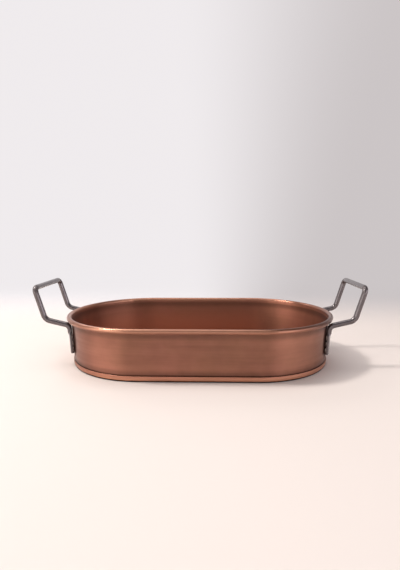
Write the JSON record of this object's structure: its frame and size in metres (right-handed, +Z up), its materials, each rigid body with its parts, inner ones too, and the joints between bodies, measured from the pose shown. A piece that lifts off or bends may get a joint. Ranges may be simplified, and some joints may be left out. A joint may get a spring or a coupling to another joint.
{
  "type": "oval serving tray",
  "caption": "Deep oval serving tray of copper-coloured sheet with a wired rim, a turned-up base lip and bent rod handles welded to its round ends.",
  "frame": {"origin": "middle of the underside of the base, on the surface that the tray stands on", "axes": "+X along the tray through both handles, +Y across it, +Z up"},
  "size_m": [0.4774, 0.241, 0.1185],
  "materials": {
    "copper_wall": "antique copper, horizontally brushed satin",
    "copper_base": "antique copper, satin, darker along its edges",
    "wire_steel": "bare drawn wire, hidden inside the rim",
    "solder": "dull solder, plated over with the copper finish",
    "handle_iron": "grey-brown iron rod, satin lacquer",
    "weld_metal": "dark rippled tack weld"
  },
  "bodies": {
    "root": {"tray_wall": "copper_wall", "rim_wire": "wire_steel", "base_pan": "copper_base", "base_solder": "solder", "right_handle": "handle_iron", "left_handle": "handle_iron", "right_front_lower_inner_weld": "weld_metal", "right_front_lower_outer_weld": "weld_metal", "right_front_middle_inner_weld": "weld_metal", "right_front_middle_outer_weld": "weld_metal", "right_front_upper_inner_weld": "weld_metal", "right_front_upper_outer_weld": "weld_metal", "right_back_lower_inner_weld": "weld_metal", "right_back_lower_outer_weld": "weld_metal", "right_back_middle_inner_weld": "weld_metal", "right_back_middle_outer_weld": "weld_metal", "right_back_upper_inner_weld": "weld_metal", "right_back_upper_outer_weld": "weld_metal", "left_front_lower_inner_weld": "weld_metal", "left_front_lower_outer_weld": "weld_metal", "left_front_middle_inner_weld": "weld_metal", "left_front_middle_outer_weld": "weld_metal", "left_front_upper_inner_weld": "weld_metal", "left_front_upper_outer_weld": "weld_metal", "left_back_lower_inner_weld": "weld_metal", "left_back_lower_outer_weld": "weld_metal", "left_back_middle_inner_weld": "weld_metal", "left_back_middle_outer_weld": "weld_metal", "left_back_upper_inner_weld": "weld_metal", "left_back_upper_outer_weld": "weld_metal"}
  },
  "joints": []
}
